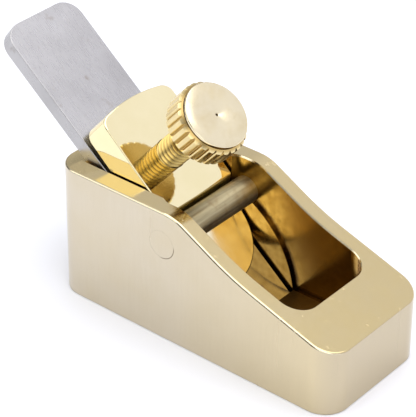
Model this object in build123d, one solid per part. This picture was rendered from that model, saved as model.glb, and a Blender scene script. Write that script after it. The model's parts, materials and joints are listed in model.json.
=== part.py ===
"""Small brass finger plane: body, cross pin, plane iron, lever cap and thumb screw.

Millimetres. +X points to the toe, +Y to the far cheek, +Z up. The origin is on the sole, halfway
between heel and toe, on the centre plane.
"""
from build123d import *
import os
from math import atan, cos, radians, sin, tan

# ---- body -------------------------------------------------------------------
LENGTH = 43.0
WIDTH = 18.4
CORNER_R = 3.3          # upright corners at heel and toe
HEEL_TOP = 18.2         # height of the level part of the deck
TOE_TOP = 8.7           # height of the deck at the toe
BREAK_X = -2.3          # where the level deck turns down
BREAK_R = 6.0
BREAK_DROP = 0.21       # the most that rounding the break lowers the deck
KNEE = (6.1, 13.7)      # where the steep slope eases
KNEE_R = 35.0
DECK_EDGE_R = 0.3
SOLE_EDGE_R = 0.2
NEAR = 0.01             # lengths closer than this count as equal

# ---- throat and mouth -------------------------------------------------------
FRONT_HALF = 6.9        # half the width of the open front pocket
FRONT_REAR_X = -7.5     # the pocket's rear end, flared into the rear slot
THROAT_FRONT = 15.0
THROAT_CORNER_R = 2.9
REAR_HALF = 6.45        # half the width of the slot round iron and cap
GUIDE_CENTRE = (-9.7, 0.6)   # the side guides end in an arc about this point
GUIDE_R = 13.7
FLOOR_Z = 2.5           # thickness of the sole in front of the mouth
RIM_EDGE = 0.15
BED_ANGLE = 38.9
BED_X = 3.34            # where the bed plane meets the sole plane
MOUTH_GAP = 0.5         # clear of the iron's upper face
BED_TOE_X = 2.6         # the thin end of the bed is cut back to here
BED_TOE_CUT = 2.0       # size of that cut, more than the bed is thick there
MOUTH_CUT = 12.5        # length of the mouth cut along the bed, more than the sole needs

# ---- plane iron -------------------------------------------------------------
IRON_WIDTH = 12.2
IRON_THICK = 1.9
IRON_TOP_S = 47.5       # far end, measured up the bed from BED_X
IRON_CORNER_R = 2.6
IRON_EDGE_R = 0.1
IRON_BEVEL = 28.0
IRON_LIFT = 0.02        # air between iron and bed
EDGE_Z = 0.06           # cutting edge above the sole when set back

# ---- lever cap, in its own frame: along its underside from the nose tip -------
CAP_TIP_S = 5.8
CAP_GAP = 0.05          # nose above the iron
CAP_TILT = 2.45         # its underside opens away from the iron
CAP_HALF = 6.2
CAP_LENGTH = 25.9
CAP_NOSE_THICK = 0.6
CAP_VALLEY = (10.1, 1.911)   # foot of the steep wall behind the cross pin
CAP_VALLEY_R = 1.9
CAP_CREST_X = 11.4      # the thick block starts here
CAP_CREST_R = 0.4
CAP_THICK = 3.9
CAP_END_R = 23.8
CAP_CORNER_R = 1.6
CAP_EDGE_R = 0.18

# ---- cross pin ----------------------------------------------------------------
PIN_R = 1.85
PIN_AIR = 0.02          # air between the pin and the cap
PIN_ALONG = 8.8         # along the cap from its nose tip
PIN_FIT = 0.01

# ---- thumb screw, M4 ------------------------------------------------------------
SCREW_ALONG = 17.5      # along the cap from its nose tip
SCREW_R = 2.0
SCREW_FIT = 0.05
SCREW_TIP_GAP = 0.05
SCREW_TIP_ROUND = 0.5
SCREW_TIP_DOME = 0.08   # rise of the tip from its middle to its rounded edge
SCREW_EXPOSED = 6.9     # thread between cap and head
HEAD_R = 4.8            # over the flutes
HEAD_THICK = 3.4        # fluted part
HEAD_CHAMFER = 0.45
HEAD_FLUTES = 28
FLUTE_DEPTH = 0.32
FLUTE_HALF = 0.27       # half the width of a flute at the rim
FLUTE_FLARE = 0.405     # half its width just outside the head
DISC_R = 4.32           # raised turned face
DISC_RISE = 0.5
DISC_EDGE = 0.16
DISC_NECK = 0.14        # undercut between the face and the flutes
DIMPLE_R = 0.22
STUD_R = 1.5            # end of the shank inside the head
STUD_FIT = 0.03
STUD_DEPTH = 3.0

SLOPE = radians(BED_ANGLE)
UP_BED = Vector(-cos(SLOPE), 0, sin(SLOPE))
OFF_BED = Vector(sin(SLOPE), 0, cos(SLOPE))
BED_ORIGIN = Vector(BED_X, 0, 0)
BED_SIDE = Plane(origin=BED_ORIGIN, x_dir=UP_BED, z_dir=(0, 1, 0))
BED_PLAN = Plane(origin=BED_ORIGIN, x_dir=UP_BED, z_dir=OFF_BED)

IRON_TOP_OFF = IRON_LIFT + IRON_THICK
CAP_SLOPE = radians(BED_ANGLE + CAP_TILT)
UP_CAP = Vector(-cos(CAP_SLOPE), 0, sin(CAP_SLOPE))
OFF_CAP = Vector(sin(CAP_SLOPE), 0, cos(CAP_SLOPE))
CAP_ORIGIN = BED_ORIGIN + UP_BED * CAP_TIP_S + OFF_BED * (IRON_TOP_OFF + CAP_GAP)
CAP_SIDE = Plane(origin=CAP_ORIGIN, x_dir=UP_CAP, z_dir=(0, 1, 0))
CAP_PLAN = Plane(origin=CAP_ORIGIN, x_dir=UP_CAP, z_dir=OFF_CAP)

TONGUE_RISE = atan((CAP_VALLEY[1] - CAP_NOSE_THICK) / CAP_VALLEY[0])
TONGUE_AT_PIN = CAP_NOSE_THICK + PIN_ALONG * tan(TONGUE_RISE)
PIN_OFF = TONGUE_AT_PIN + (PIN_R + PIN_AIR) / cos(TONGUE_RISE)
PIN_CENTRE = CAP_ORIGIN + UP_CAP * PIN_ALONG + OFF_CAP * PIN_OFF


def cylinder_along(start, direction, radius, length):
    """A plain cylinder from start along direction."""
    disc = Plane(origin=start, z_dir=direction) * Circle(radius)
    return extrude(disc, length)


def body_block():
    """The outer block with its broken deck line and eased edges."""
    half = LENGTH / 2
    deck = FilletPolyline(
        (-half, HEEL_TOP), (BREAK_X, HEEL_TOP), KNEE, (half, TOE_TOP), radius=[BREAK_R, KNEE_R])
    rest = Polyline((half, TOE_TOP), (half, 0), (-half, 0), (-half, HEEL_TOP))
    side = Plane.XZ * make_face([*deck.edges(), *rest.edges()])
    block = extrude(side, WIDTH / 2, both=True)
    block &= extrude(RectangleRounded(LENGTH, WIDTH, CORNER_R), HEEL_TOP + 1)
    sole_edges = block.edges().filter_by(lambda e: e.bounding_box().max.Z < NEAR)
    block = fillet(sole_edges, SOLE_EDGE_R)
    outline = block.edges().filter_by(lambda e: is_deck_edge(e))
    return fillet(outline, DECK_EDGE_R)


def is_deck_edge(edge):
    """True for the deck's outer edges, false for the lines across it and the upright corners."""
    box = edge.bounding_box()
    across = box.size.X < NEAR and abs(box.min.X) < LENGTH / 2 - 1
    return box.min.Z > TOE_TOP - NEAR and not across


def plan_pocket(rear, front, half):
    """A round-cornered pocket from the floor up, between two x values."""
    plan = Pos((front + rear) / 2, 0, FLOOR_Z) * RectangleRounded(front - rear, 2 * half, THROAT_CORNER_R)
    return extrude(plan, HEEL_TOP)


def throat():
    """Slot for iron and cap, and a wider front pocket that leaves a guide on each cheek beside the iron."""
    guides = extrude(Plane.XZ * Pos(*GUIDE_CENTRE) * Circle(GUIDE_R), WIDTH, both=True)
    pocket = plan_pocket(FRONT_REAR_X, THROAT_FRONT, FRONT_HALF) - guides
    pocket += plan_pocket(-LENGTH, THROAT_FRONT, REAR_HALF)
    above_bed = BED_SIDE * Pos(LENGTH / 2, HEEL_TOP) * Rectangle(3 * LENGTH, 2 * HEEL_TOP)
    return pocket & extrude(above_bed, WIDTH, both=True)


def mouth():
    """The slot that carries the bed through the sole, parallel to the iron."""
    slot_thick = IRON_TOP_OFF + MOUTH_GAP
    slot = BED_SIDE * Pos(0, slot_thick / 2) * Rectangle(MOUTH_CUT, slot_thick)
    slot = extrude(slot, REAR_HALF, both=True)
    blunt = Pos(BED_TOE_X + BED_TOE_CUT / 2, 0, 0) * Box(BED_TOE_CUT, 2 * REAR_HALF, BED_TOE_CUT)
    return slot + blunt


def make_body():
    """The block with its throat, mouth and pin holes."""
    shape = body_block() - throat()
    rim = shape.edges().filter_by(lambda e: is_rim_edge(e))
    shape = chamfer(rim, RIM_EDGE)
    shape -= mouth()
    start = Vector(PIN_CENTRE.X, -WIDTH, PIN_CENTRE.Z)
    return shape - cylinder_along(start, (0, 1, 0), PIN_R + PIN_FIT, 2 * WIDTH)


def is_rim_edge(edge):
    """True for the edges where the throat breaks through the deck."""
    box = edge.bounding_box()
    inside = max(abs(box.min.Y), abs(box.max.Y)) < FRONT_HALF + NEAR
    level = box.min.Z > deck_height(box.max.X) - 2 * NEAR
    across = box.size.X < NEAR and box.max.X < THROAT_FRONT - 10 * NEAR
    return inside and level and not across


def deck_height(x):
    """Lower bound of the deck's height at x, from its three straight runs."""
    steep = HEEL_TOP + (x - BREAK_X) * (KNEE[1] - HEEL_TOP) / (KNEE[0] - BREAK_X)
    easy = KNEE[1] + (x - KNEE[0]) * (TOE_TOP - KNEE[1]) / (LENGTH / 2 - KNEE[0])
    return min(HEEL_TOP, max(steep, easy)) - BREAK_DROP


def make_cross_pin():
    """Plain pin, finished flush with both cheeks."""
    start = Vector(PIN_CENTRE.X, -WIDTH / 2, PIN_CENTRE.Z)
    return cylinder_along(start, (0, 1, 0), PIN_R, WIDTH)


def make_plane_iron():
    """Flat blade on the bed, bevel down, with rounded top corners."""
    edge_s = (EDGE_Z - IRON_TOP_OFF * cos(SLOPE)) / sin(SLOPE)
    heel_s = edge_s + IRON_THICK / tan(radians(IRON_BEVEL))
    side = Polyline(
        (heel_s, IRON_LIFT), (edge_s, IRON_TOP_OFF), (IRON_TOP_S, IRON_TOP_OFF), (IRON_TOP_S, IRON_LIFT),
        close=True)
    blade = extrude(BED_SIDE * make_face(side), IRON_WIDTH / 2, both=True)
    ends = blade.edges().filter_by(Axis((0, 0, 0), OFF_BED))
    top_ends = [e for e in ends if e.center().Z > HEEL_TOP]
    blade = fillet(top_ends, IRON_CORNER_R)
    upper = [e for e in blade.edges() if is_upper_rim(e, BED_PLAN, IRON_TOP_OFF, 0)]
    return fillet(upper, IRON_EDGE_R)


def is_upper_rim(edge, plan, height, s_low):
    """True for edges at a height over a plan plane, past s_low along it."""
    middle = plan.to_local_coords(edge @ 0.5)
    start = plan.to_local_coords(edge @ 0)
    return abs(middle.Z - height) < NEAR and abs(start.Z - height) < NEAR and middle.X > s_low


def cap_plan():
    """Outline of the lever cap from above: half-round nose, slightly bowed upper end."""
    shape = Pos(CAP_HALF, 0) * Circle(CAP_HALF)
    shape += Pos((CAP_LENGTH + CAP_HALF) / 2, 0) * Rectangle(CAP_LENGTH - CAP_HALF, 2 * CAP_HALF)
    shape &= Pos(CAP_LENGTH - CAP_END_R, 0) * Circle(CAP_END_R)
    far = [v for v in shape.vertices() if v.X > CAP_LENGTH / 2]
    return fillet(far, CAP_CORNER_R)


def make_lever_cap():
    """Clamp piece: thin nose, hollow for the cross pin, thick tapped block."""
    top = FilletPolyline(
        (-1, CAP_NOSE_THICK - tan(TONGUE_RISE)), CAP_VALLEY, (CAP_CREST_X, CAP_THICK),
        (CAP_LENGTH + 1, CAP_THICK), radius=[CAP_VALLEY_R, CAP_CREST_R])
    rest = Polyline(
        (CAP_LENGTH + 1, CAP_THICK), (CAP_LENGTH + 1, 0), (-1, 0), (-1, CAP_NOSE_THICK - tan(TONGUE_RISE)))
    side = CAP_SIDE * make_face([*top.edges(), *rest.edges()])
    cap = extrude(side, CAP_HALF + 1, both=True)
    cap &= extrude(CAP_PLAN * cap_plan(), CAP_THICK + 1)
    cap = fillet([e for e in cap.edges() if is_cap_rim(e)], CAP_EDGE_R)
    hole_start = CAP_ORIGIN + UP_CAP * SCREW_ALONG - OFF_CAP
    return cap - cylinder_along(hole_start, OFF_CAP, SCREW_R + SCREW_FIT, CAP_THICK + 2)


def is_cap_rim(edge):
    """True for the upper outline of the cap, false for upright edges and lines across its top."""
    middle = CAP_PLAN.to_local_coords(edge @ 0.5)
    along = edge % 0.5
    upright = abs(along.dot(OFF_CAP)) > 0.99
    across = abs(along.Y) > 0.99 and 1 < middle.X < CAP_LENGTH - 1
    return middle.Z > CAP_NOSE_THICK / 2 and not upright and not across


def screw_plane():
    """Plane at the screw's tip, facing along its axis towards the head."""
    drop = CAP_GAP - SCREW_TIP_GAP + (SCREW_ALONG * sin(radians(CAP_TILT))) / cos(radians(CAP_TILT))
    tip = CAP_ORIGIN + UP_CAP * SCREW_ALONG - OFF_CAP * drop
    return Plane(origin=tip, x_dir=(0, 1, 0), z_dir=OFF_CAP), drop


def revolved(plane, points):
    """Solid of revolution about the plane's normal, from (radius, height) points."""
    profile = make_face(Polyline(*points, close=True))
    solid = revolve(Plane.XZ * profile, Axis.Z)
    return plane * solid


def make_screw_shank():
    """Threaded shank with a rounded tip and a plain stud inside the head."""
    plane, drop = screw_plane()
    shoulder = drop + CAP_THICK + SCREW_EXPOSED
    points = [
        (0, 0), (SCREW_R - 2 * SCREW_TIP_ROUND, SCREW_TIP_DOME),
        (SCREW_R - SCREW_TIP_ROUND / 2, SCREW_TIP_ROUND), (SCREW_R, 2 * SCREW_TIP_ROUND),
        (SCREW_R, shoulder), (STUD_R, shoulder), (STUD_R, shoulder + STUD_DEPTH), (0, shoulder + STUD_DEPTH)]
    return revolved(plane, points)


def make_thumb_head():
    """Fluted head with a raised turned face and a centre dimple."""
    plane, drop = screw_plane()
    seat = drop + CAP_THICK + SCREW_EXPOSED + STUD_FIT
    rim = seat + HEAD_THICK
    face = rim + DISC_RISE
    bore = STUD_R + STUD_FIT
    bore_end = seat + STUD_DEPTH
    neck = DISC_R - DISC_NECK
    points = [
        (bore, seat), (HEAD_R - HEAD_CHAMFER / 2, seat), (HEAD_R, seat + HEAD_CHAMFER / 2),
        (HEAD_R, rim - HEAD_CHAMFER), (HEAD_R - HEAD_CHAMFER, rim), (neck, rim),
        (neck, rim + DISC_EDGE / 2), (DISC_R, rim + DISC_EDGE), (DISC_R, face - DISC_EDGE),
        (DISC_R - DISC_EDGE / 3, face - DISC_EDGE / 3), (DISC_R - DISC_EDGE, face),
        (DIMPLE_R, face), (0, face - DIMPLE_R), (0, bore_end), (bore, bore_end)]
    head = revolved(plane, points)
    outside = HEAD_R + FLUTE_DEPTH / 2
    flute = Polyline((HEAD_R - FLUTE_DEPTH, 0), (outside, -FLUTE_FLARE), (outside, FLUTE_FLARE), close=True)
    cutter = extrude(Pos(0, 0, seat - 1) * make_face(flute), HEAD_THICK + 1)
    turn = 360 / HEAD_FLUTES
    return head - [plane * Rot(0, 0, turn * i) * cutter for i in range(HEAD_FLUTES)]


PARTS = {
    "body": make_body,
    "cross_pin": make_cross_pin,
    "plane_iron": make_plane_iron,
    "lever_cap": make_lever_cap,
    "screw_shank": make_screw_shank,
    "thumb_head": make_thumb_head,
}

os.makedirs("parts", exist_ok=True)
for name, make in PARTS.items():
    export_step(make(), f"parts/{name}.step")
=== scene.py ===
import json
import math

import bmesh
import bpy
from mathutils import Matrix, Vector


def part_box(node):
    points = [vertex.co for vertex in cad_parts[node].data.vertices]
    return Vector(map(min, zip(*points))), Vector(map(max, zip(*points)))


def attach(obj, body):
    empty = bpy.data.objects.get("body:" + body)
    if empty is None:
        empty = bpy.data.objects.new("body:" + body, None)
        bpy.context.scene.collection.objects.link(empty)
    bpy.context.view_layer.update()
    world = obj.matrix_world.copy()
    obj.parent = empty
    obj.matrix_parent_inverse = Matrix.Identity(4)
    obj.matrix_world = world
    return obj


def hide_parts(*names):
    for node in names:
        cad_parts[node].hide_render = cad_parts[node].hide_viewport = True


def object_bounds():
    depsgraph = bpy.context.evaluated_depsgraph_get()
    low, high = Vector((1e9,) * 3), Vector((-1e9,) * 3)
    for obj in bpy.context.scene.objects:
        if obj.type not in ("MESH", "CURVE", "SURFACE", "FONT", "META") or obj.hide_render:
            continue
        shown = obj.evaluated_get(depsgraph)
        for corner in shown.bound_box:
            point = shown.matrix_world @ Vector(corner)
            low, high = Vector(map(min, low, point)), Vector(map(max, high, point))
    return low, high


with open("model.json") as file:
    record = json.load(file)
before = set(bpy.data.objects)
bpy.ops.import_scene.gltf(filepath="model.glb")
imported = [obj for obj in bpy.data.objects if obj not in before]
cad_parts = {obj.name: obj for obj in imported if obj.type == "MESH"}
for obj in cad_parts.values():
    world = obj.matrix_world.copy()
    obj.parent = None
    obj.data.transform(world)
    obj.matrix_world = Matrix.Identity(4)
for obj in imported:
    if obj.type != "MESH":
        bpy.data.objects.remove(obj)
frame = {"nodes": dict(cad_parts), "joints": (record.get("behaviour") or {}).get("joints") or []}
CAD_BOX = [list(corner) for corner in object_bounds()]
NODES = frame["nodes"]
JOINTS = {joint["name"]: joint for joint in frame["joints"]}
MM = 0.001


def middle_mm(node):
    """Middle of a CAD node's box, in millimetres."""
    low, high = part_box(node)
    return [(a + b) / 2 / MM for a, b in zip(low, high)]


PIN_X, _, PIN_Z = middle_mm("cross_pin")

# ---- camera: a long lens on the near cheek and toe, from above ----------------
VIEW_AZIMUTH = 39.383
VIEW_ELEVATION = 32.996
VIEW_ROLL = 0.535
VIEW_DISTANCE = 245.66 * MM
VIEW_TARGET = Vector((-2.750, -2.235, 15.952)) * MM
VIEW_LENS = 176.63


def make_camera():
    """A camera on the sphere round the target, turned a little about its own axis."""
    azimuth = math.radians(VIEW_AZIMUTH)
    elevation = math.radians(VIEW_ELEVATION)
    roll = math.radians(VIEW_ROLL)
    level = math.cos(elevation)
    back = Vector((math.sin(azimuth) * level, -math.cos(azimuth) * level, math.sin(elevation)))
    right = Vector((0, 0, 1)).cross(back).normalized()
    up = back.cross(right)
    turned_right = math.cos(roll) * right + math.sin(roll) * up
    turned_up = math.cos(roll) * up - math.sin(roll) * right
    data = bpy.data.cameras.new("camera")
    data.lens = VIEW_LENS
    data.sensor_width = 36
    data.clip_start = 0.01
    data.clip_end = 20
    camera = bpy.data.objects.new("camera", data)
    turn = Matrix((turned_right, turned_up, back)).transposed()
    camera.matrix_world = Matrix.Translation(VIEW_TARGET + back * VIEW_DISTANCE) @ turn.to_4x4()
    bpy.context.scene.collection.objects.link(camera)
    bpy.context.scene.camera = camera


# ---- light and floor ----------------------------------------------------------
def make_floor():
    """Pale paper floor under the sole."""
    half = 3.0
    mesh = bpy.data.meshes.new("floor")
    low = CAD_BOX[0][2]
    corners = [(-half, -half, low), (half, -half, low), (half, half, low), (-half, half, low)]
    mesh.from_pydata(corners, [], [(0, 1, 2, 3)])
    floor = bpy.data.objects.new("floor", mesh)
    bpy.context.scene.collection.objects.link(floor)
    material, nodes, links, shader = new_material("floor_paper")
    shader.inputs["Base Color"].default_value = (0.86, 0.87, 0.90, 1)
    shader.inputs["Roughness"].default_value = 0.9
    shader.inputs["Specular IOR Level"].default_value = 0.1
    mesh.materials.append(material)


SKY_FROM = (0.47, 0.65, 0.60)
SKY_STOPS = [
    (0.30, (0.10, 0.10, 0.11)), (0.50, (0.36, 0.36, 0.38)), (0.66, (0.76, 0.76, 0.79)),
    (0.88, (1.0, 1.0, 1.08)), (1.0, (1.03, 1.03, 1.12))]


def make_world():
    """A surround that is bright past the far cheek and dim on the near side."""
    world = bpy.data.worlds.new("surround")
    world.use_nodes = True
    nodes = world.node_tree.nodes
    links = world.node_tree.links
    place = nodes.new("ShaderNodeTexCoord")
    facing = nodes.new("ShaderNodeVectorMath")
    facing.operation = "DOT_PRODUCT"
    facing.inputs[1].default_value = Vector(SKY_FROM).normalized() * 0.5
    links.new(place.outputs["Generated"], facing.inputs[0])
    share = nodes.new("ShaderNodeMath")
    share.operation = "ADD"
    share.inputs[1].default_value = 0.5
    links.new(facing.outputs["Value"], share.inputs[0])
    colour = ramp(nodes, links, share.outputs[0], SKY_STOPS)
    background = nodes["Background"]
    links.new(colour, background.inputs["Color"])
    background.inputs["Strength"].default_value = 1.0
    bpy.context.scene.world = world


def make_area(name, direction, distance, size, power):
    """A soft rectangular light that faces the object from a direction."""
    data = bpy.data.lights.new(name, "AREA")
    data.shape = "RECTANGLE"
    data.size = size[0]
    data.size_y = size[1]
    data.energy = power
    light = bpy.data.objects.new(name, data)
    aim = Vector(direction).normalized()
    light.location = VIEW_TARGET + aim * distance
    light.rotation_euler = aim.to_track_quat("Z", "Y").to_euler()
    bpy.context.scene.collection.objects.link(light)


def make_lights():
    """A broad overhead softbox, and two smaller ones on the near side, past the heel and past the toe."""
    make_area("overhead", (0.0, 0.05, 1.0), 0.9, (1.15, 1.15), 6.6)
    make_area("near_heel", (-0.53, -0.65, 0.55), 0.9, (0.8, 0.6), 2.4)
    make_area("near_toe", (0.61, -0.65, 0.46), 0.9, (0.8, 0.5), 1.8)


# ---- materials -----------------------------------------------------------------
def new_material(name):
    """A node material with its Principled shader."""
    material = bpy.data.materials.new(name)
    material.use_nodes = True
    tree = material.node_tree
    return material, tree.nodes, tree.links, tree.nodes["Principled BSDF"]


def add(nodes, kind, **values):
    """A node with its properties and input defaults set by name."""
    node = nodes.new(kind)
    for key, value in values.items():
        if hasattr(node, key):
            setattr(node, key, value)
        else:
            node.inputs[key.replace("_", " ")].default_value = value
    return node


def ramp(nodes, links, source, stops):
    """A colour ramp over source with (position, colour) stops."""
    node = nodes.new("ShaderNodeValToRGB")
    links.new(source, node.inputs["Fac"])
    elements = node.color_ramp.elements
    while len(elements) < len(stops):
        elements.new(0.5)
    for element, (place, colour) in zip(elements, stops):
        element.position = place
        element.color = (*colour, 1)
    return node.outputs["Color"]


def stretched_noise(nodes, links, stretch, scale, detail=4.0, rotate=(0, 0, 0)):
    """Noise drawn out along the axes with small stretch values, in object space, for lines left by a tool."""
    place = nodes.new("ShaderNodeTexCoord")
    mapping = add(nodes, "ShaderNodeMapping")
    mapping.inputs["Rotation"].default_value = rotate
    mapping.inputs["Scale"].default_value = stretch
    links.new(place.outputs["Object"], mapping.inputs["Vector"])
    noise = add(nodes, "ShaderNodeTexNoise", Scale=scale, Detail=detail, Roughness=0.6)
    links.new(mapping.outputs["Vector"], noise.inputs["Vector"])
    return noise.outputs["Fac"]


def add_bump(nodes, links, shader, heights, strength, distance):
    """Bump from the sum of several height sources."""
    total = heights[0]
    for height in heights[1:]:
        both = nodes.new("ShaderNodeMath")
        both.operation = "ADD"
        links.new(total, both.inputs[0])
        links.new(height, both.inputs[1])
        total = both.outputs[0]
    bump = nodes.new("ShaderNodeBump")
    bump.inputs["Strength"].default_value = strength
    bump.inputs["Distance"].default_value = distance
    links.new(total, bump.inputs["Height"])
    links.new(bump.outputs["Normal"], shader.inputs["Normal"])


def math_node(nodes, links, operation, first, second):
    """A math node over sockets or numbers."""
    node = nodes.new("ShaderNodeMath")
    node.operation = operation
    for socket, value in zip(node.inputs, (first, second)):
        if isinstance(value, (int, float)):
            socket.default_value = value
        else:
            links.new(value, socket)
    return node.outputs[0]


def place_mm(nodes, links):
    """Object coordinates in millimetres, as three sockets."""
    place = nodes.new("ShaderNodeTexCoord")
    scaled = nodes.new("ShaderNodeVectorMath")
    scaled.operation = "SCALE"
    scaled.inputs["Scale"].default_value = 1000
    links.new(place.outputs["Object"], scaled.inputs[0])
    split = nodes.new("ShaderNodeSeparateXYZ")
    links.new(scaled.outputs["Vector"], split.inputs[0])
    return split.outputs


def ramp_value(nodes, links, source, low, high, first, second):
    """Maps source from low..high to first..second."""
    node = nodes.new("ShaderNodeMapRange")
    links.new(source, node.inputs["Value"])
    node.inputs["From Min"].default_value = low
    node.inputs["From Max"].default_value = high
    node.inputs["To Min"].default_value = first
    node.inputs["To Max"].default_value = second
    return node.outputs["Result"]


def mix_value(nodes, links, share, first, second):
    """Number blend from first to second."""
    mix = nodes.new("ShaderNodeMix")
    links.new(share, mix.inputs["Factor"])
    links.new(first, mix.inputs["A"])
    links.new(second, mix.inputs["B"])
    return mix.outputs["Result"]


def band(nodes, links, value, low, high, soft):
    """1 between low and high, falling to 0 over a soft width outside them."""
    rise = nodes.new("ShaderNodeMapRange")
    links.new(value, rise.inputs["Value"])
    rise.inputs["From Min"].default_value = low - soft
    rise.inputs["From Max"].default_value = low
    fall = nodes.new("ShaderNodeMapRange")
    links.new(value, fall.inputs["Value"])
    fall.inputs["From Min"].default_value = high + soft
    fall.inputs["From Max"].default_value = high
    return math_node(nodes, links, "MULTIPLY", rise.outputs["Result"], fall.outputs["Result"])


def blend(nodes, links, share, first, second):
    """Colour blend from first to second."""
    mix = nodes.new("ShaderNodeMix")
    mix.data_type = "RGBA"
    links.new(share, mix.inputs["Factor"])
    for name, value in (("A", first), ("B", second)):
        socket = next(s for s in mix.inputs if s.name == name and s.type == "RGBA")
        if isinstance(value, tuple):
            socket.default_value = (*value, 1)
        else:
            links.new(value, socket)
    return next(s for s in mix.outputs if s.type == "RGBA")


# One alloy, but each face has its own tone, set by measure for how it looks under these lights
# The side, warm, toe and deck tones below are painted light and shade: lit and shaded copies of the one
# brass, for each face direction and along the body.
SIDE_LIT_TONE = (0.635, 0.565, 0.44)
WARM_LIT_TONE = (0.66, 0.56, 0.365)
TOE_LIT_TONE = (0.545, 0.465, 0.33)
DECK_LIT_TONE = (0.62, 0.50, 0.255)
# Painted highlight for the rounded edges along the deck.
EDGE_HIGHLIGHT_TONE = (0.86, 0.77, 0.56)
CAST_BRASS = (0.50, 0.31, 0.075)
CLOUD_BRASS = (0.59, 0.50, 0.32)
GRAIN_BRASS = (0.52, 0.44, 0.31)
DEEP_CAST = (0.36, 0.20, 0.035)
TURNED_CLOUD = (0.60, 0.45, 0.19)
# Dark tone for painted shade on the throat's floor, along the guides and in the head's centre dimple, and for
# the dark seam round the pin's ends.
SHADE_AND_SEAM_DARK = (0.07, 0.04, 0.015)

# Places on the body in millimetres, as it was built
THROAT_CORNER = (12.1, 4.0)     # centre of the throat's front corners, along and beside
THROAT_REACH = 2.92             # their radius and a little more
THROAT_REAR = -21.2
DECK_UNDER = 17.93              # just below the level deck
FLOOR_TOP = 2.55                # just above the throat's floor
GUIDE_CENTRE = (-9.7, 0.6)      # the side guides end in an arc about this point
GUIDE_LINE = (13.6, 14.2)       # from and to this far from it lies the line of painted shade
GUIDE_WALL = 6.6                # the cheek walls lie further out than this
PIN_SEAM = (1.84, 1.92)         # radii of the seam round the pin
CHEEK_FACE = 9.1                # the cheeks' outsides lie further out than this


def product(nodes, links, first, *others):
    """Product of several masks."""
    total = first
    for other in others:
        total = math_node(nodes, links, "MULTIPLY", total, other)
    return total


def distance_to(nodes, links, first, second, centre):
    """Distance of the point (first, second) from a centre in the same plane."""
    squares = []
    for value, middle in zip((first, second), centre):
        offset = math_node(nodes, links, "SUBTRACT", value, middle)
        squares.append(math_node(nodes, links, "MULTIPLY", offset, offset))
    return math_node(nodes, links, "SQRT", math_node(nodes, links, "ADD", *squares), 0)


def inside_throat(nodes, links, x, side, z):
    """1 on the walls, floor and bed of the round-cornered throat, 0 on the outside of the body."""
    ahead = math_node(nodes, links, "MAXIMUM", x, THROAT_CORNER[0])
    beside = math_node(nodes, links, "MAXIMUM", side, THROAT_CORNER[1])
    reach = distance_to(nodes, links, ahead, beside, THROAT_CORNER)
    return product(
        nodes, links, band(nodes, links, reach, -1, THROAT_REACH, 0.01),
        band(nodes, links, x, THROAT_REAR, 20, 0.1), band(nodes, links, z, 0.2, DECK_UNDER, 0.1))


def scratches(nodes, links, turn, scale):
    """Sparse fine straight marks, 1 on a mark."""
    lines = stretched_noise(nodes, links, (1, 1, 0.03), scale, 2, turn)
    return ramp_value(nodes, links, lines, 0.66, 0.72, 0, 1)


def painted_light_masks(nodes, links):
    """Masks for painted light: the painted highlight on the edges along the deck, and the painted tones for
    faces that look up and for faces that look to the toe.
    """
    geometry = nodes.new("ShaderNodeNewGeometry")
    normal = nodes.new("ShaderNodeSeparateXYZ")
    links.new(geometry.outputs["Normal"], normal.inputs[0])
    across = math_node(nodes, links, "ABSOLUTE", normal.outputs["Y"], 0)
    edge = product(
        nodes, links, band(nodes, links, across, 0.35, 0.9, 0.1),
        band(nodes, links, normal.outputs["Z"], 0.3, 0.9, 0.1))
    upward = band(nodes, links, normal.outputs["Z"], 0.8, 2, 0.5)
    forward = band(nodes, links, normal.outputs["X"], 0.8, 2, 0.7)
    return edge, upward, forward


def brass_with_painted_light(nodes, links):
    """Colour, roughness and height of the outside: upright grain, clouds and scratches, with painted light in
    the colour: painted light and shade tones for each face direction and along the body, and a painted
    highlight along the edges.
    """
    grain = stretched_noise(nodes, links, (1, 1, 0.06), 2500, 3)
    clouds = stretched_noise(nodes, links, (1, 1, 1), 130, 4)
    marks = scratches(nodes, links, (0.5, 0.3, 0.4), 900)
    edge, upward, forward = painted_light_masks(nodes, links)
    x, _, _ = place_mm(nodes, links)
    # Painted light and shade: the colour changes with face direction and along the body, as the lights fall
    # on it.
    colour = blend(nodes, links, ramp_value(nodes, links, x, -4, 19, 0, 1), SIDE_LIT_TONE, WARM_LIT_TONE)
    colour = blend(nodes, links, forward, colour, TOE_LIT_TONE)
    colour = blend(nodes, links, upward, colour, DECK_LIT_TONE)
    colour = blend(nodes, links, ramp_value(nodes, links, clouds, 0.35, 0.7, 0, 0.4), colour, CLOUD_BRASS)
    colour = blend(nodes, links, ramp_value(nodes, links, grain, 0.35, 0.65, 0, 0.10), colour, GRAIN_BRASS)
    # Painted highlight along the deck edges.
    colour = blend(nodes, links, product(nodes, links, edge, 0.6), colour, EDGE_HIGHLIGHT_TONE)
    rough = ramp_value(nodes, links, grain, 0.3, 0.7, 0.13, 0.19)
    rough = math_node(nodes, links, "ADD", rough, product(nodes, links, marks, 0.12))
    height = math_node(nodes, links, "SUBTRACT", grain, product(nodes, links, marks, 0.8))
    return colour, rough, height


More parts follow.
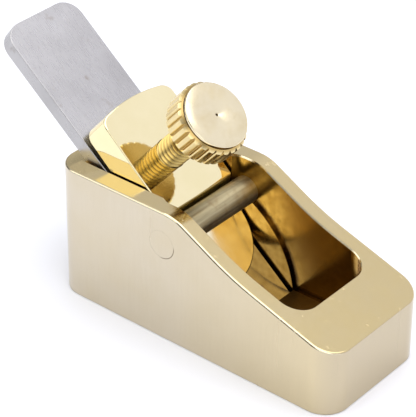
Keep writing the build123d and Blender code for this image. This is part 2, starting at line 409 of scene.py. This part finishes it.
def body_material():
    """Polished brass outside with painted light and shade, dull cast brass inside the throat, with painted
    shade on the throat's floor and a line of painted shade round each guide.
    """
    material, nodes, links, shader = new_material("body_brass_painted_light")
    shader.inputs["Metallic"].default_value = 1.0
    x, y, z = place_mm(nodes, links)
    side = math_node(nodes, links, "ABSOLUTE", y, 0)
    inside = inside_throat(nodes, links, x, side, z)
    outer, smooth, grain = brass_with_painted_light(nodes, links)
    cast = stretched_noise(nodes, links, (1, 1, 1), 900, 5)
    inner = blend(nodes, links, ramp_value(nodes, links, cast, 0.35, 0.7, 0, 1), CAST_BRASS, DEEP_CAST)
    # Painted shade on the throat's floor.
    floor_shade = band(nodes, links, z, 2.0, FLOOR_TOP, 0.2)
    inner = blend(nodes, links, product(nodes, links, floor_shade, 0.75), inner, SHADE_AND_SEAM_DARK)
    # Painted shade in a band along the arc where each side guide ends; the guide's step there is real
    # geometry.
    from_guide = distance_to(nodes, links, x, z, GUIDE_CENTRE)
    guide_shade = product(
        nodes, links, band(nodes, links, from_guide, *GUIDE_LINE, 0.5),
        band(nodes, links, side, GUIDE_WALL, 20, 0.05),
        ramp_value(nodes, links, cast, 0.3, 0.6, 0.55, 0.95))
    inner = blend(nodes, links, guide_shade, inner, SHADE_AND_SEAM_DARK)
    # A dark seam line round the pin's ends, on their lower toe side only.
    from_pin = distance_to(nodes, links, x, z, (PIN_X, PIN_Z))
    towards = math_node(
        nodes, links, "SUBTRACT", math_node(nodes, links, "SUBTRACT", x, PIN_X),
        math_node(nodes, links, "SUBTRACT", z, PIN_Z))
    seam = product(
        nodes, links, band(nodes, links, from_pin, *PIN_SEAM, 0.05),
        band(nodes, links, towards, 2.0, 9, 0.5), band(nodes, links, y, -20, -CHEEK_FACE, 0.02), 0.75)
    outer = blend(nodes, links, seam, outer, SHADE_AND_SEAM_DARK)
    links.new(blend(nodes, links, inside, outer, inner), shader.inputs["Base Color"])
    dull = ramp_value(nodes, links, cast, 0.3, 0.7, 0.15, 0.24)
    between_walls = band(nodes, links, side, -1, 6.3, 0.1)
    dull = mix_value(nodes, links, between_walls, dull, ramp_value(nodes, links, cast, 0.3, 0.7, 0.3, 0.45))
    links.new(mix_value(nodes, links, inside, smooth, dull), shader.inputs["Roughness"])
    add_bump(nodes, links, shader, [grain, product(nodes, links, cast, inside)], 0.07, 0.00003)
    return material


def pin_material():
    """Drawn rod with lengthwise streaks between the cheeks, polished flush with them at its ends."""
    material, nodes, links, shader = new_material("pin_brass_painted_light")
    shader.inputs["Metallic"].default_value = 1.0
    _, y, _ = place_mm(nodes, links)
    side = math_node(nodes, links, "ABSOLUTE", y, 0)
    ends = band(nodes, links, side, 9.15, 20, 0.03)
    # The pin's ends take the outside brass, with its painted light and shade tones and painted edge
    # highlight.
    outer, smooth, grain = brass_with_painted_light(nodes, links)
    lines = stretched_noise(nodes, links, (1, 0.05, 1), 1800, 4)
    blotch = stretched_noise(nodes, links, (1, 1, 1), 700, 5)
    rod = ramp(nodes, links, lines, [(0.35, (0.30, 0.25, 0.14)), (0.65, (0.50, 0.43, 0.26))])
    rod = blend(nodes, links, ramp_value(nodes, links, blotch, 0.5, 0.7, 0, 0.6), rod, (0.30, 0.21, 0.10))
    links.new(blend(nodes, links, ends, rod, outer), shader.inputs["Base Color"])
    dull = ramp_value(nodes, links, lines, 0.3, 0.7, 0.33, 0.5)
    links.new(mix_value(nodes, links, ends, dull, smooth), shader.inputs["Roughness"])
    add_bump(nodes, links, shader, [lines, grain], 0.15, 0.00002)
    return material


def iron_material():
    """Ground steel: faint grinding lines, clouds and a few stains, and a honed lower end."""
    material, nodes, links, shader = new_material("iron_steel_finish")
    shader.inputs["Metallic"].default_value = 1.0
    _, _, z = place_mm(nodes, links)
    lines = stretched_noise(nodes, links, (1, 8, 1), 500, 3)
    clouds = stretched_noise(nodes, links, (1, 1, 1), 110, 4)
    stains = stretched_noise(nodes, links, (1, 1, 1), 420, 6)
    marks = scratches(nodes, links, (0.2, 1.1, 0.3), 1100)
    colour = ramp(nodes, links, clouds, [(0.35, (0.41, 0.40, 0.395)), (0.65, (0.49, 0.48, 0.475))])
    stained = ramp_value(nodes, links, stains, 0.62, 0.72, 0, 0.7)
    colour = blend(nodes, links, stained, colour, (0.26, 0.22, 0.19))
    links.new(colour, shader.inputs["Base Color"])
    ground = ramp_value(nodes, links, lines, 0.3, 0.7, 0.25, 0.32)
    honed = ramp_value(nodes, links, lines, 0.3, 0.7, 0.10, 0.15)
    rough = mix_value(nodes, links, band(nodes, links, z, -1, 12.0, 3.0), ground, honed)
    rough = math_node(nodes, links, "ADD", rough, product(nodes, links, stained, 0.2))
    links.new(rough, shader.inputs["Roughness"])
    height = math_node(nodes, links, "SUBTRACT", lines, product(nodes, links, marks, 0.8))
    add_bump(nodes, links, shader, [height], 0.08, 0.00002)
    return material


def cap_material():
    """Brightly polished brass with a haze of hairlines, softer and paler towards the nose."""
    material, nodes, links, shader = new_material("cap_brass_finish")
    shader.inputs["Metallic"].default_value = 1.0
    _, _, z = place_mm(nodes, links)
    lines = stretched_noise(nodes, links, (1, 8, 1), 300, 3)
    clouds = stretched_noise(nodes, links, (1, 1, 1), 160, 3)
    marks = scratches(nodes, links, (0.9, 0.4, 0.2), 700)
    nose = band(nodes, links, z, -1, 9.5, 2.5)
    colour = ramp(nodes, links, clouds, [(0.35, (0.87, 0.77, 0.46)), (0.65, (0.90, 0.80, 0.50))])
    links.new(blend(nodes, links, nose, colour, (0.90, 0.85, 0.62)), shader.inputs["Base Color"])
    bright = ramp_value(nodes, links, lines, 0.3, 0.7, 0.03, 0.07)
    soft = ramp_value(nodes, links, lines, 0.3, 0.7, 0.16, 0.22)
    rough = mix_value(nodes, links, nose, bright, soft)
    rough = math_node(nodes, links, "ADD", rough, product(nodes, links, marks, 0.08))
    links.new(rough, shader.inputs["Roughness"])
    height = math_node(nodes, links, "SUBTRACT", lines, product(nodes, links, marks, 0.8))
    add_bump(nodes, links, shader, [height], 0.03, 0.00002)
    return material


def turned_material(name, reach, groove, face_from, light, dark):
    """Turned brass in the screw's own frame: painted shade in its grooves and centre dimple, paler on the end
    face.
    """
    material, nodes, links, shader = new_material(name)
    shader.inputs["Metallic"].default_value = 1.0
    x, y, z = place_mm(nodes, links)
    radius = distance_to(nodes, links, x, y, (0, 0))
    face = band(nodes, links, z, face_from, 99, 0.05)
    # Painted shade: darker towards the bottom of each groove.
    groove_shade = ramp_value(nodes, links, radius, reach - groove, reach - 0.2 * groove, 1, 0)
    groove_shade = product(nodes, links, groove_shade, math_node(nodes, links, "SUBTRACT", 1, face))
    clouds = stretched_noise(nodes, links, (1, 1, 1), 500, 4)
    rings = add(nodes, "ShaderNodeTexNoise", Scale=9.0, Detail=3.0)
    rings.noise_dimensions = "1D"
    links.new(radius, rings.inputs["W"])
    colour = blend(nodes, links, groove_shade, light, dark)
    colour = blend(nodes, links, face, colour, (0.80, 0.71, 0.49))
    # Painted shade in the centre dimple of the end face.
    dimple_shade = product(nodes, links, face, band(nodes, links, radius, -1, 0.16, 0.04))
    colour = blend(nodes, links, ramp_value(nodes, links, clouds, 0.4, 0.75, 0, 0.35), colour, TURNED_CLOUD)
    colour = blend(nodes, links, dimple_shade, colour, SHADE_AND_SEAM_DARK)
    links.new(colour, shader.inputs["Base Color"])
    links.new(ramp_value(nodes, links, clouds, 0.3, 0.7, 0.15, 0.27), shader.inputs["Roughness"])
    add_bump(nodes, links, shader, [product(nodes, links, rings.outputs["Fac"], face), clouds], 0.12, 0.00002)
    return material


# ---- the thumb screw -------------------------------------------------------------
AXIS = Vector(JOINTS["head_turn"]["axis"])
AXIS_POINT = Vector(JOINTS["head_turn"]["pos_m"])


def along_axis(node):
    """How far a CAD node reaches along the screw's axis, low and high, and how far out from it."""
    places = [vertex.co - AXIS_POINT for vertex in NODES[node].data.vertices]
    heights = [place.dot(AXIS) for place in places]
    radii = [(place - AXIS * height).length for place, height in zip(places, heights)]
    return min(heights), max(heights), max(radii)


def screw_frame():
    """Matrix that takes +Z to the screw's axis. It mirrors, so a right-handed curve becomes left-handed."""
    across = Vector((0, 1, 0))
    third = AXIS.cross(across)
    turn = Matrix((across, third * -1, AXIS)).transposed()
    return Matrix.Translation(AXIS_POINT) @ turn.to_4x4()


def finish_mesh(name, bm, material, body, node, sharp=35):
    """Turns a bmesh into a smooth piece that rides on a body in place of a CAD node."""
    bmesh.ops.remove_doubles(bm, verts=bm.verts, dist=1e-7)
    bmesh.ops.dissolve_degenerate(bm, edges=bm.edges, dist=1e-8)
    bmesh.ops.recalc_face_normals(bm, faces=bm.faces)
    mesh = bpy.data.meshes.new(name)
    bm.to_mesh(mesh)
    bm.free()
    for polygon in mesh.polygons:
        polygon.use_smooth = True
    mesh.set_sharp_from_angle(angle=math.radians(sharp))
    mesh.materials.append(material)
    piece = bpy.data.objects.new(name, mesh)
    piece.matrix_world = screw_frame()
    bpy.context.scene.collection.objects.link(piece)
    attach(piece, body)
    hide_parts(node)
    return piece


FLUTES = 28
FLUTE_STEPS = (0.0, 0.05, 0.13, 0.20, 0.25, 0.29, 0.34, 0.44)     # mm from a flute's middle
FLUTE_DEPTHS = (0.32, 0.30, 0.17, 0.07, 0.025, 0.006, 0.0, 0.0)   # mm below the land


def make_head():
    """Fluted head: each row is a ring, and the flutes' ends run out on the chamfers."""
    low, high, reach = along_axis("thumb_head")
    rim_drop = 0.5 * MM
    outer = reach
    bore = 1.55 * MM
    foot = 0.225 * MM
    chamfer = 0.45 * MM
    disc = outer - 0.48 * MM
    neck = disc - 0.14 * MM
    rim = high - rim_drop
    columns = []
    pitch = 2 * math.pi / FLUTES
    for flute in range(FLUTES):
        steps = [(-x, d) for x, d in zip(FLUTE_STEPS[:0:-1], FLUTE_DEPTHS[:0:-1])]
        steps += list(zip(FLUTE_STEPS, FLUTE_DEPTHS))
        for x, depth in steps:
            columns.append((flute * pitch + x * MM / outer, outer - depth * MM))
    rows = []
    rows.append([(bore, low + 0.6 * MM) for _ in columns])
    rows.append([(bore, low) for _ in columns])
    rows.append([(outer - 0.5 * MM, low) for _ in columns])
    rows.append([(min(outer - foot, r), low) for _, r in columns])
    rows.append([(r, low + max(0, r - outer + foot)) for _, r in columns])
    rows.append([(r, rim - chamfer + outer - r) for _, r in columns])
    rings = [
        (outer - chamfer, rim), (neck, rim), (neck, rim + 0.08 * MM), (disc - 0.05 * MM, rim + 0.10 * MM),
        (disc, rim + 0.15 * MM), (disc, high - 0.16 * MM), (disc - 0.03 * MM, high - 0.08 * MM),
        (disc - 0.08 * MM, high - 0.03 * MM), (disc - 0.16 * MM, high), (disc * 0.66, high),
        (0.30 * MM, high), (0.20 * MM, high - 0.03 * MM), (0.04 * MM, high - 0.20 * MM)]
    rows += [[ring for _ in columns] for ring in rings]
    bm = bmesh.new()
    grid = []
    for row in rows:
        places = [(r * math.cos(a), r * math.sin(a), h) for (a, _), (r, h) in zip(columns, row)]
        grid.append([bm.verts.new(place) for place in places])
    count = len(columns)
    for lower, upper in zip(grid, grid[1:]):
        for i in range(count):
            j = (i + 1) % count
            bm.faces.new((lower[i], lower[j], upper[j], upper[i]))
    bm.faces.new(grid[-1])
    bm.faces.new(list(reversed(grid[0])))
    # The first colour is the head's lands; the second is the painted shade in its flutes.
    material = turned_material(
        "head_brass_painted_shade", outer / MM, 0.32, high / MM - 0.3, (0.76, 0.62, 0.32), (0.50, 0.35, 0.13))
    return finish_mesh("thumb_head_fluted", bm, material, "head", "thumb_head", 25)


THREAD_PITCH = 0.7 * MM
THREAD_DEPTH = 0.43 * MM
THREAD_STEPS = 48
THREAD_PROFILE = (       # share of the pitch, share of the depth
    (0.0, 1.0), (0.125, 1.0), (0.17, 0.93), (0.42, 0.07),
    (0.47, 0.0), (0.65, 0.0), (0.70, 0.07), (0.95, 0.93))


def make_thread():
    """Thread of M4 pitch that runs out at both ends. Mirrored by screw_frame, it is left-handed in place."""
    low, high, reach = along_axis("screw_shank")
    head_low = along_axis("thumb_head")[0]
    start = low + 0.45 * MM
    end = head_low + 0.4 * MM
    root = reach - THREAD_DEPTH
    turns = math.ceil((end - start) / THREAD_PITCH) + 2
    bm = bmesh.new()
    grid = []
    for turn in range(turns):
        for place, height in THREAD_PROFILE:
            row = []
            for step in range(THREAD_STEPS):
                share = step / THREAD_STEPS
                h = start + THREAD_PITCH * (turn - 1 + place + share)
                h = min(max(h, start), end)
                fade = min(1, (h - start) / (0.8 * THREAD_PITCH), (end - h) / (0.3 * THREAD_PITCH))
                r = root + THREAD_DEPTH * height * max(0, fade)
                angle = 2 * math.pi * share
                row.append(bm.verts.new((r * math.cos(angle), r * math.sin(angle), h)))
            grid.append(row)
    jump = len(THREAD_PROFILE)
    for j in range(len(grid) - 1):
        for i in range(THREAD_STEPS):
            if i + 1 < THREAD_STEPS:
                corners = (grid[j][i], grid[j][i + 1], grid[j + 1][i + 1], grid[j + 1][i])
            elif j + jump + 1 < len(grid):
                corners = (grid[j][i], grid[j + jump][0], grid[j + jump + 1][0], grid[j + 1][i])
            else:
                continue
            bm.faces.new(corners)
    tip = [
        (root, start), (root - 0.1 * MM, start - 0.2 * MM), (root - 0.4 * MM, low + 0.08 * MM),
        (0.3 * MM, low)]
    rings = []
    for r, h in tip:
        rings.append([bm.verts.new((r * math.cos(a), r * math.sin(a), h))
                      for a in (2 * math.pi * s / THREAD_STEPS for s in range(THREAD_STEPS))])
    for outer, inner in zip(rings, rings[1:]):
        for i in range(THREAD_STEPS):
            j = (i + 1) % THREAD_STEPS
            bm.faces.new((outer[i], inner[i], inner[j], outer[j]))
    bm.faces.new(rings[-1])
    # The first colour is the thread's crests; the second is the painted shade in its roots.
    material = turned_material(
        "screw_brass_painted_shade", reach / MM, 0.40, 99, (0.52, 0.38, 0.125), (0.10, 0.055, 0.01))
    return finish_mesh("thumb_screw_thread", bm, material, "screw", "screw_shank", 40)


def dress(node, material):
    """Gives a CAD node its finished material."""
    slots = NODES[node].material_slots
    for slot in slots:
        slot.material = material


make_camera()
make_world()
make_lights()
make_floor()
bpy.context.scene.view_settings.view_transform = "Standard"
dress("body", body_material())
dress("cross_pin", pin_material())
dress("plane_iron", iron_material())
dress("lever_cap", cap_material())
make_head()
make_thread()
